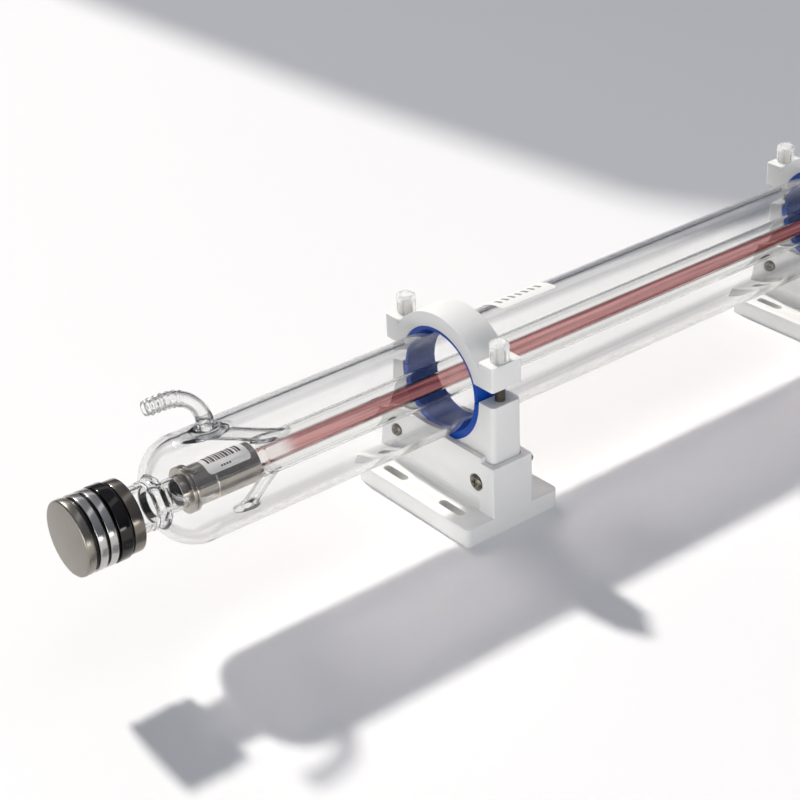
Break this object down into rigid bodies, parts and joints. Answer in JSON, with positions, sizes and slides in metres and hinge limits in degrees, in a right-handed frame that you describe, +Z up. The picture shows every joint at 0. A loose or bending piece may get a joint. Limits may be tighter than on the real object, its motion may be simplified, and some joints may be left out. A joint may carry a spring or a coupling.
{
  "type": "co2 laser tube",
  "caption": "Sealed glass gas laser tube with coaxial water jacket, hooked water nozzles and ringed metal heads, held in adjustable clamp supports.",
  "frame": {"origin": "centre of the front support's slot pattern, on the mounting plane", "axes": "+X across the tube, +Y along the tube away from the labelled end, +Z up from the mounting plane"},
  "size_m": [0.1346, 1.096, 0.1828],
  "materials": {
    "white_plastic": "moulded, fine satin",
    "clear_plastic": "translucent moulded",
    "blue_rubber": "smooth",
    "black_rubber": "smooth",
    "glass": "drawn and flame polished",
    "bore_glass": "drawn",
    "electrode_steel": "rolled and brushed",
    "head_steel": "turned, brushed face",
    "head_chrome": "polished",
    "screw_steel": "dark zinc",
    "washer_steel": "bright zinc",
    "coated_mirror": "coated optic",
    "label_paper": "printed film"
  },
  "bodies": {
    "bases": {"front_base": "white_plastic", "rear_base": "white_plastic", "height_screws": "screw_steel", "height_nuts": "screw_steel", "height_washers": "washer_steel"},
    "carriage": {"front_saddle": "white_plastic", "rear_saddle": "white_plastic", "front_arch": "white_plastic", "rear_arch": "white_plastic", "front_lower_liner": "blue_rubber", "rear_lower_liner": "blue_rubber", "front_upper_liner": "blue_rubber", "rear_upper_liner": "blue_rubber", "clamp_studs": "screw_steel", "envelope": "glass", "water_jacket": "glass", "discharge_tube": "bore_glass", "front_neck": "glass", "rear_neck": "glass", "front_nozzle": "glass", "rear_nozzle": "glass", "front_feed": "glass", "rear_feed": "glass", "front_strut": "glass", "rear_strut": "glass", "front_electrode": "electrode_steel", "rear_electrode": "electrode_steel", "electrode_label": "label_paper", "tube_label": "label_paper", "front_head_core": "head_steel", "rear_head_core": "head_steel", "front_head_rings": "head_steel", "rear_head_rings": "head_steel", "front_head_sleeve": "head_chrome", "rear_head_sleeve": "head_chrome", "front_cap": "head_steel", "rear_cap": "head_steel", "front_seals": "black_rubber", "rear_seals": "black_rubber", "front_mirror": "coated_mirror", "rear_mirror": "coated_mirror"},
    "front_right_clamp_knob": {"front_right_knob": "clear_plastic", "front_right_insert": "screw_steel"},
    "front_left_clamp_knob": {"front_left_knob": "clear_plastic", "front_left_insert": "screw_steel"},
    "rear_right_clamp_knob": {"rear_right_knob": "clear_plastic", "rear_right_insert": "screw_steel"},
    "rear_left_clamp_knob": {"rear_left_knob": "clear_plastic", "rear_left_insert": "screw_steel"}
  },
  "joints": [
    {"name": "height_slide", "type": "slide", "parent": "bases", "child": "carriage", "axis": [0, 0, 1], "range_m": [0, 0.015]},
    {"name": "front_right_knob_turn", "type": "hinge", "parent": "carriage", "child": "front_right_clamp_knob", "pos_m": [0.054, 0, 0.138], "axis": [0, 0, 1], "continuous": true},
    {"name": "front_left_knob_turn", "type": "hinge", "parent": "carriage", "child": "front_left_clamp_knob", "pos_m": [-0.054, 0, 0.138], "axis": [0, 0, 1], "continuous": true},
    {"name": "rear_right_knob_turn", "type": "hinge", "parent": "carriage", "child": "rear_right_clamp_knob", "pos_m": [0.054, 0.43, 0.138], "axis": [0, 0, 1], "continuous": true},
    {"name": "rear_left_knob_turn", "type": "hinge", "parent": "carriage", "child": "rear_left_clamp_knob", "pos_m": [-0.054, 0.43, 0.138], "axis": [0, 0, 1], "continuous": true}
  ]
}
